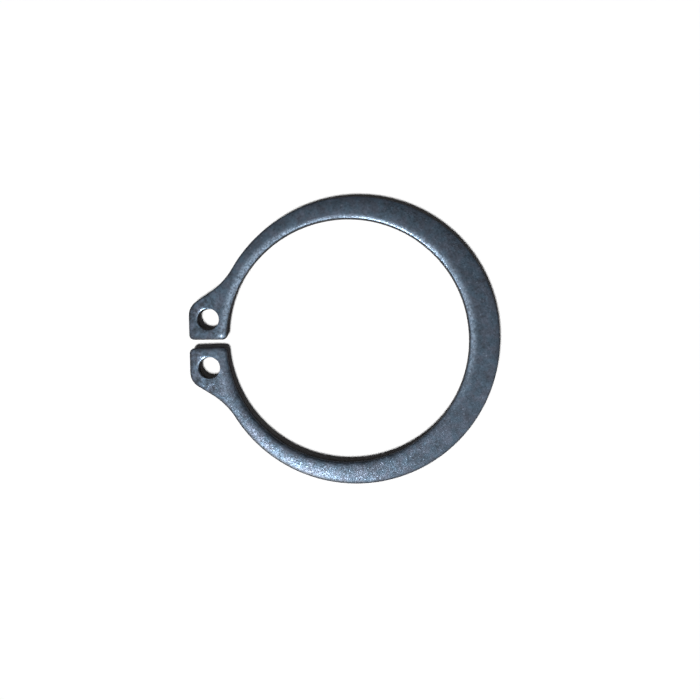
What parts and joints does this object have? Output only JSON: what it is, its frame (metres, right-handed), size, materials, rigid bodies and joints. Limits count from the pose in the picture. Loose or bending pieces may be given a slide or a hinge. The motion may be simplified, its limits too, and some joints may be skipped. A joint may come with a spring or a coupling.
{
  "type": "external retaining ring",
  "caption": "Flat open snap ring of tapering width, with a lug and plier hole on each side of its gap, that clamps into a groove round a shaft.",
  "frame": {"origin": "centre of the ring's inner circle, in the plane of the face that it lies on (the burr side)", "axes": "+Z along the shaft's axis, out of the punched face; -X through the middle of the gap; +X through the ring's widest section"},
  "size_m": [0.0376, 0.0348, 0.0015],
  "materials": {
    "phosphated_steel": "phosphated and oiled, blue-grey, with worn specks"
  },
  "bodies": {
    "root": {"retaining_ring": "phosphated_steel"}
  },
  "joints": []
}
